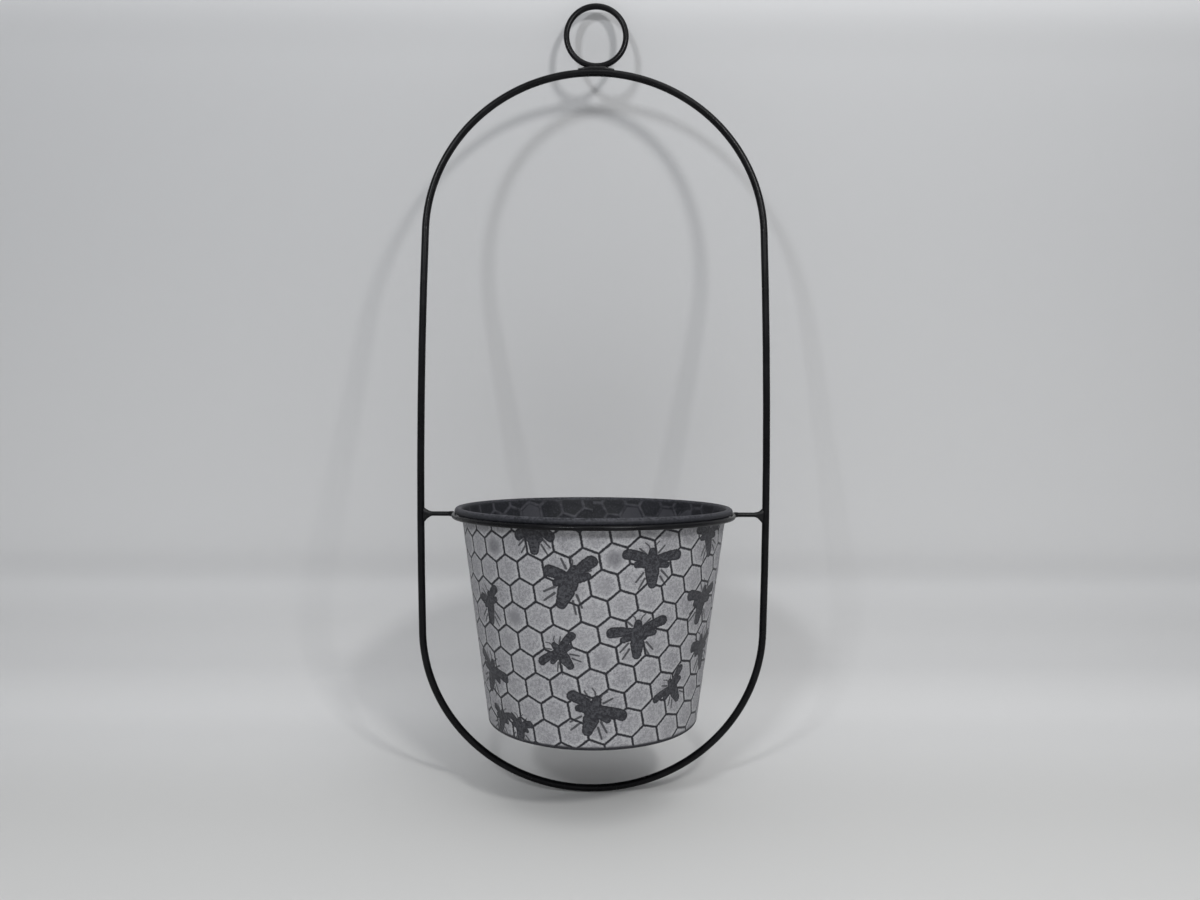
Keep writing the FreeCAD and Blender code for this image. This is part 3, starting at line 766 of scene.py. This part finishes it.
def outside_material():
    """The pot's outer face: a worn pale wash on the raised cells, dark paint in the grooves and the bees."""
    n = Nodes("pot_outside_wash")
    edge, chance = side_nodes(n)
    body, limbs = bee_nodes(n)
    ragged = n.noise(RAGGED_SCALE, 4.0, 0.6)
    wobble = n.math("MULTIPLY", n.math("SUBTRACT", ragged, 0.5), RAGGED_BY)
    rough_edge = n.math("ADD", edge, wobble)
    body = n.math("ADD", body, wobble)
    limbs = n.math("ADD", limbs, n.math("MULTIPLY", wobble, 0.5))
    height = n.parts(n.coordinates())[2]

    groove = n.step(*GROOVE_STEP, rough_edge)
    bee = n.step(*BODY_STEP, body)
    limb = n.math("MULTIPLY", n.step(*LIMB_STEP, limbs), 0.85)
    # a dark band along the lowest edge: bare paint where the wash stops, widened by painted shade of the hem's
    # fold
    hem = n.step(*((POT_LOW + up) * MM for up in HEM_STEP), height)
    bare = n.math("MAXIMUM", n.math("MAXIMUM", groove, bee), n.math("MAXIMUM", limb, hem))

    # the wash is brushed on: thick along the cells' raised edges, where a painted highlight is added to it,
    # thin and mottled in their middles, and worn through in the middle of some
    grain = n.noise(GRAIN_SCALE, 4.0, 0.75)
    mottle = n.noise(MOTTLE_SCALE, 4.0, 0.75)
    cloud = n.noise(CLOUD_SCALE, 3.0, 0.5)
    # more of the thick wash, and a stronger painted highlight, on a cell's lower edges
    up = n.parts(n.attribute("cell"))[1]
    lower_edge_wash_and_highlight = n.math("MULTIPLY_ADD", up, -0.045, 0.62, clamp=True)
    # rim: the thick wash along the cells' edges together with a painted highlight, stronger on the lower edges
    rim = n.math("MULTIPLY", n.step(*EDGE_STEP, rough_edge), lower_edge_wash_and_highlight)
    middle = n.step(*MIDDLE_STEP, edge)
    worn_cell = n.math("MULTIPLY", n.math("MULTIPLY_ADD", n.step(0.90, 0.99, chance), 0.75, 0.16), middle)
    worn = n.math("MULTIPLY", worn_cell, n.step(0.24, 0.60, mottle))
    specks = n.math("MULTIPLY", n.step(0.51, 0.61, grain), 0.58)

    wash = n.mix(n.step(0.3, 0.7, cloud), WASH_THIN, WASH_FULL)
    wash = n.mix(n.step(0.40, 0.62, mottle), wash, WASH_THICK)
    wash = n.mix(rim, wash, WASH_EDGE_AND_HIGHLIGHT)
    wash = n.mix(n.math("MAXIMUM", worn, specks), wash, WASH_WORN)
    dark = n.mix(n.step(0.35, 0.7, ragged), BARE_DEEP, BARE)
    # a bee's edges are dark as the grooves are, and inside them a little wash is left, in stripes on the tail
    fill = n.step(0.42, 0.62, mottle)
    along = n.parts(n.attribute("bee"))[1]
    tail = n.math("SINE", n.math("MULTIPLY", along, 2.4))
    stripes = n.math("MULTIPLY", n.step(0.2, 0.9, tail), n.step(-5.0, -7.0, along))
    fill = n.math("MULTIPLY_ADD", stripes, 0.45, fill)
    fill = n.math("MULTIPLY", fill, n.step(-0.4, -1.2, body), clamp=True)
    dark = n.mix(fill, dark, BARE_DUSTY)
    n.set(Base_Color=n.mix(bare, wash, dark))
    n.set(Roughness=n.blend(bare, WASH_ROUGH, BARE_ROUGH), Specular_IOR_Level=0.28)
    n.bump(n.math("ADD", n.math("MULTIPLY", grain, 0.4), n.math("SUBTRACT", 1.0, bare)), 0.00012, 0.55)
    return n.material


def inside_material():
    """The pot's inner face, rim and hem: dark paint, paler on the pattern where it stands inwards."""
    n = Nodes("pot_inside_paint")
    edge, chance = side_nodes(n)
    body, limbs = bee_nodes(n)
    grain = n.noise(700.0, 5.0, 0.6)
    cloud = n.noise(35.0, 3.0, 0.5)
    height = n.parts(n.coordinates())[2]
    patchy = n.math("MULTIPLY_ADD", n.step(0.36, 0.62, n.noise(170.0, 5.0, 0.7)), 0.62, 0.16)
    rough_edge = n.math("ADD", edge, n.math("MULTIPLY", n.math("SUBTRACT", grain, 0.5), 1.6))
    ridge = n.math("MULTIPLY", n.step(1.8, 0.4, rough_edge), patchy)
    shape = n.math("MULTIPLY", n.step(0.3, -0.4, n.math("MINIMUM", body, limbs)), 0.55)
    off_side = n.math("MULTIPLY", n.step(0.8, 2.0, edge), 0.60)
    pale_cell = n.math("MULTIPLY", n.step(0.70, 0.80, chance), off_side)
    raised = n.math("MAXIMUM", n.math("MAXIMUM", ridge, shape), pale_cell)
    # the rolled rim gets a painted highlight along its top, broken up by the grain
    rubbed = n.math("MULTIPLY", n.step(*((POT_LOW + up) * MM for up in RIM_HIGHLIGHT_STEP), height), 0.7)
    raised = n.math("MAXIMUM", raised, n.math("MULTIPLY", rubbed, n.step(0.40, 0.58, grain)))
    base = n.mix(n.step(0.3, 0.7, cloud), INNER_DEEP, INNER)
    base = n.mix(n.step(0.45, 0.70, grain), base, INNER_SPECK)
    n.set(Base_Color=n.mix(raised, base, INNER_PALE))
    n.set(Roughness=n.blend(n.step(0.3, 0.7, grain), 0.46, 0.62), Specular_IOR_Level=0.25)
    n.bump(grain, 0.0001, 0.4)
    return n.material


def paint_material(name):
    """Sprayed paint or plain wire: a fine skin, faint clouds, and rubbed high spots."""
    colour, rubbed, rough, scale, shine = PAINTS[name]
    n = Nodes(name)
    skin = n.noise(scale, 3.0, 0.5)
    cloud = n.noise(55.0, 4.0, 0.6)
    rub = n.math("MULTIPLY", n.step(0.60, 0.80, n.noise(240.0, 6.0, 0.7)), 0.5)
    n.set(Base_Color=n.mix(n.math("MAXIMUM", n.math("MULTIPLY", n.step(0.4, 0.7, cloud), 0.35), rub),
                           colour, rubbed))
    n.set(Roughness=n.blend(cloud, rough - 0.1, rough + 0.1), Specular_IOR_Level=shine)
    n.bump(skin, 0.00008, 0.5)
    return n.material


BLACK, WELD, GREY, STEEL = (paint_material(name) for name in PAINTS)
OUTSIDE = outside_material()
INSIDE = inside_material()

wall = make_pot_wall()
wall.data.materials.append(OUTSIDE)
wall.data.materials.append(INSIDE)
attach(wall, "pot")
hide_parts("pot_wall")

lap = make_lap()
lap.data.materials.append(OUTSIDE)
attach(lap, "pot")
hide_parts("pot_wall")

welded = []
for bead, node in make_welds():
    bead.data.materials.append(WELD)
    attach(bead, "frame")
    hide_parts(node)
    welded.append(node)

for name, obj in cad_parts.items():
    if name == "pot_wall" or name in welded:
        continue
    paint = {"pot_base": GREY, "rim_wire": STEEL}.get(name, BLACK)
    obj.data.materials.clear()
    obj.data.materials.append(paint)

# ---------------------------------------------------------------- stage, light and camera

FLOOR_Z = -542.5
BOARD_HALF = 6000.0
# (y, z) of the backdrop, from the far front of the floor up the board behind, which leans over the object
BOARD = [
    (-6000, FLOOR_Z), (-600, FLOOR_Z), (-100, FLOOR_Z), (90, FLOOR_Z), (165, FLOOR_Z + 4), (222, FLOOR_Z + 24),
    (248, FLOOR_Z + 62), (243, -440), (219, -400), (190, -345), (140, -250), (92, -158), (52, -82), (22, -25),
    (6, 8), (3, 40), (3, 120), (3, 400), (3, 1500),
]
BOARD_STEPS = 10
# the colours make up for the light, so that the backdrop looks even
BOARD_HIGH, BOARD_LOW, BOARD_FOOT = (0.575, 0.578, 0.588), (0.735, 0.735, 0.74), (0.60, 0.60, 0.602)
FLOOR_BACK, FLOOR_FRONT = (0.715, 0.715, 0.715), (0.615, 0.613, 0.605)


def smooth_line(points, steps):
    """Catmull-Rom through the points."""
    p = np.array(points, float)
    p = np.vstack([2 * p[0] - p[1], p, 2 * p[-1] - p[-2]])
    out = []
    for k in range(1, len(p) - 2):
        a, b, c, d = p[k - 1:k + 3]
        # centripetal knots keep the curve from swinging where the spacing changes
        t = np.cumsum([0] + [np.linalg.norm(q - r) ** 0.5 for q, r in ((b, a), (c, b), (d, c))])
        for s in np.linspace(t[1], t[2], steps, endpoint=False):
            a1 = (t[1] - s) / (t[1] - t[0]) * a + (s - t[0]) / (t[1] - t[0]) * b
            a2 = (t[2] - s) / (t[2] - t[1]) * b + (s - t[1]) / (t[2] - t[1]) * c
            a3 = (t[3] - s) / (t[3] - t[2]) * c + (s - t[2]) / (t[3] - t[2]) * d
            b1 = (t[2] - s) / (t[2] - t[0]) * a1 + (s - t[0]) / (t[2] - t[0]) * a2
            b2 = (t[3] - s) / (t[3] - t[1]) * a2 + (s - t[1]) / (t[3] - t[1]) * a3
            out.append((t[2] - s) / (t[2] - t[1]) * b1 + (s - t[1]) / (t[2] - t[1]) * b2)
    out.append(p[-2])
    return np.array(out)


def stage_material():
    """Pale board. It isn't seen from behind, so that it can't hide the object there."""
    n = Nodes("pale_board")
    height = n.parts(n.coordinates())[2]
    wall = n.mix(n.step(-0.02, -0.44, height), BOARD_HIGH, BOARD_LOW)
    wall = n.mix(n.step((FLOOR_Z + 110) * MM, (FLOOR_Z + 55) * MM, height), wall, BOARD_FOOT)
    bed = n.mix(n.step(-0.05, 0.16, n.parts(n.coordinates())[1]), FLOOR_FRONT, FLOOR_BACK)
    n.set(Base_Color=n.mix(n.step((FLOOR_Z + 32) * MM, (FLOOR_Z + 2) * MM, height), wall, bed),
          Roughness=0.9, Specular_IOR_Level=0.1)
    n.bump(n.noise(260.0, 4.0, 0.6), 0.0002, 0.15)
    clear = n.tree.nodes.new("ShaderNodeBsdfTransparent")
    choose = n.tree.nodes.new("ShaderNodeMixShader")
    side = n.tree.nodes.new("ShaderNodeNewGeometry")
    n.join(side.outputs["Backfacing"], choose.inputs[0])
    n.join(n.shader.outputs[0], choose.inputs[1])
    n.join(clear.outputs[0], choose.inputs[2])
    n.join(choose.outputs[0], n.out.inputs["Surface"])
    return n.material


def make_board():
    line = smooth_line(BOARD, BOARD_STEPS)
    points = [(sign * BOARD_HALF * MM, y * MM, z * MM) for y, z in line for sign in (-1, 1)]
    faces = [(2 * k, 2 * k + 1, 2 * k + 3, 2 * k + 2) for k in range(len(line) - 1)]
    mesh = bpy.data.meshes.new("backdrop")
    mesh.from_pydata(points, [], faces)
    shade(mesh, 60)
    mesh.materials.append(stage_material())
    return new_object("backdrop", mesh)


make_board()

# name, place in metres, side of the square, watts, colour
LAMPS = [
    ("lamp_left", (-0.42, -1.02, 0.25), 0.115, 4.05, (0.96, 0.98, 1.0)),
    ("lamp_right", (0.32, -0.73, 0.17), 0.085, 2.85, (1.0, 1.0, 0.99)),
    ("lamp_top", (0.45, -0.85, 1.25), 1.2, 8.8, (1.0, 1.0, 1.0)),
]
LAMPS_AIM = Vector((0.0, 0.0, -0.28))
WORLD_COLOUR = (0.95, 0.97, 1.0, 1.0)
WORLD_LIGHT, WORLD_SEEN = 0.42, 0.62        # its strength as light, and where the camera sees it

for name, place, size, watts, colour in LAMPS:
    data = bpy.data.lights.new(name, "AREA")
    data.shape = "RECTANGLE"
    data.size, data.size_y = size, size
    data.energy = watts
    data.color = colour
    lamp = new_object(name, data)
    lamp.location = Vector(place)
    lamp.rotation_mode = "QUATERNION"
    lamp.rotation_quaternion = (Vector(place) - LAMPS_AIM).to_track_quat("Z", "Y")
    lamp.visible_camera = False

world = bpy.data.worlds.new("studio")
bpy.context.scene.world = world
world.use_nodes = True
background = world.node_tree.nodes["Background"]
background.inputs[0].default_value = WORLD_COLOUR
seen = world.node_tree.nodes.new("ShaderNodeLightPath")
strength = world.node_tree.nodes.new("ShaderNodeMapRange")
strength.inputs["To Min"].default_value = WORLD_LIGHT
strength.inputs["To Max"].default_value = WORLD_SEEN
world.node_tree.links.new(seen.outputs["Is Camera Ray"], strength.inputs["Value"])
world.node_tree.links.new(strength.outputs[0], background.inputs[1])

# the photograph's view: the lens's reach in pixels of the 1200-pixel frame, then place and turn
LENS_PX, FRAME_PX, SENSOR = 865.5, 1200.0, 36.0
CAMERA_AT = (-4.7, -600.9, -296.8)
YAW, PITCH_DOWN, ROLL = (math.radians(a) for a in (0.838, 0.696, 0.301))

ahead = Vector((math.sin(YAW) * math.cos(PITCH_DOWN), math.cos(YAW) * math.cos(PITCH_DOWN),
                -math.sin(PITCH_DOWN)))
level = Vector((math.cos(YAW), -math.sin(YAW), 0.0))
upright = level.cross(ahead)
right = math.cos(ROLL) * level + math.sin(ROLL) * upright
up = -math.sin(ROLL) * level + math.cos(ROLL) * upright
camera_data = bpy.data.cameras.new("camera")
camera_data.sensor_width = SENSOR
camera_data.lens = LENS_PX / FRAME_PX * SENSOR
camera_data.clip_start = 0.01
camera = new_object("camera", camera_data)
turn = Matrix((right, up, -ahead)).transposed().to_4x4()
camera.matrix_world = Matrix.Translation(Vector(CAMERA_AT) * MM) @ turn
bpy.context.scene.camera = camera
bpy.context.scene.view_settings.view_transform = "Standard"
